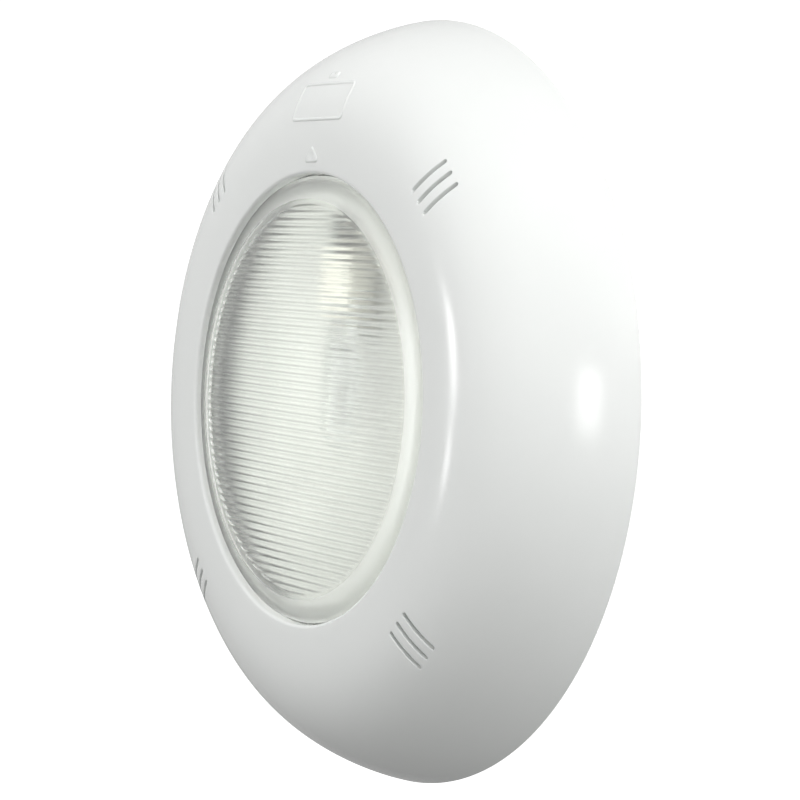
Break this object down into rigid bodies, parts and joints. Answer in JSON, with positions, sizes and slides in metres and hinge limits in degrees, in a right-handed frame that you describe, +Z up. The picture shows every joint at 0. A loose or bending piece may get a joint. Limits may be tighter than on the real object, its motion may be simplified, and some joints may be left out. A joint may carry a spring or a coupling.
{
  "type": "underwater pool light",
  "caption": "Surface-mounted round underwater pool light: domed white bezel with slots, fluted lens, capsule lamp, reflector, cable gland and bayonet wall bracket.",
  "frame": {"origin": "centre of the wall bracket's back face, on the wall", "axes": "+Z up the wall, +Y into the wall, so the lens faces -Y, and +X to the right as seen from in front"},
  "size_m": [0.252, 0.0455, 0.252],
  "materials": {
    "white_abs": "glossy moulded white",
    "clear_lens": "clear, fluted inside",
    "quartz": "clear",
    "housing_plastic": "fine moulded grain",
    "bracket_plastic": "moulded",
    "bright_aluminium": "spun and brightened",
    "stainless": "bright",
    "steatite": "unglazed",
    "silicone": "matt",
    "lead_sleeve": "silicone sleeve",
    "tungsten": "drawn wire",
    "nickel_brass": "nickel plated",
    "black_nylon": "moulded"
  },
  "bodies": {
    "bracket": {"wall_bracket": "bracket_plastic"},
    "head": {"housing": "housing_plastic", "lens": "clear_lens", "lens_gasket": "silicone", "clamp_ring": "stainless", "clamp_screw_1": "stainless", "clamp_screw_2": "stainless", "clamp_screw_3": "stainless", "clamp_screw_4": "stainless", "clamp_screw_5": "stainless", "clamp_screw_6": "stainless", "clamp_screw_7": "stainless", "clamp_screw_8": "stainless", "reflector": "bright_aluminium", "lamp_holder": "steatite", "holder_contact_left": "nickel_brass", "holder_contact_right": "nickel_brass", "holder_screw_left": "stainless", "holder_screw_right": "stainless", "holder_strap": "stainless", "strap_screw": "stainless", "lead_left": "lead_sleeve", "lead_right": "lead_sleeve", "terminal_block": "black_nylon", "terminal_screw_1": "nickel_brass", "terminal_screw_2": "nickel_brass", "terminal_screw_3": "nickel_brass", "terminal_screw_4": "nickel_brass", "gland_body": "black_nylon", "gland_washer": "silicone", "gland_locknut": "black_nylon", "gland_seal": "silicone", "gland_nut": "black_nylon"},
    "bezel": {"bezel": "white_abs"},
    "bulb": {"bulb_capsule": "quartz", "bulb_pinch": "quartz", "bulb_filament": "tungsten", "bulb_pin_left": "stainless", "bulb_pin_right": "stainless"}
  },
  "joints": [
    {"name": "head_twist", "type": "hinge", "parent": "bracket", "child": "head", "pos_m": [0, 0, 0], "axis": [0, -1, 0], "range_deg": [0, 22]},
    {"name": "bezel_pull", "type": "slide", "parent": "head", "child": "bezel", "axis": [0, -1, 0], "range_m": [0, 0.06]},
    {"name": "bulb_pull", "type": "slide", "parent": "head", "child": "bulb", "axis": [0, 0, -1], "range_m": [0, 0.009]}
  ]
}
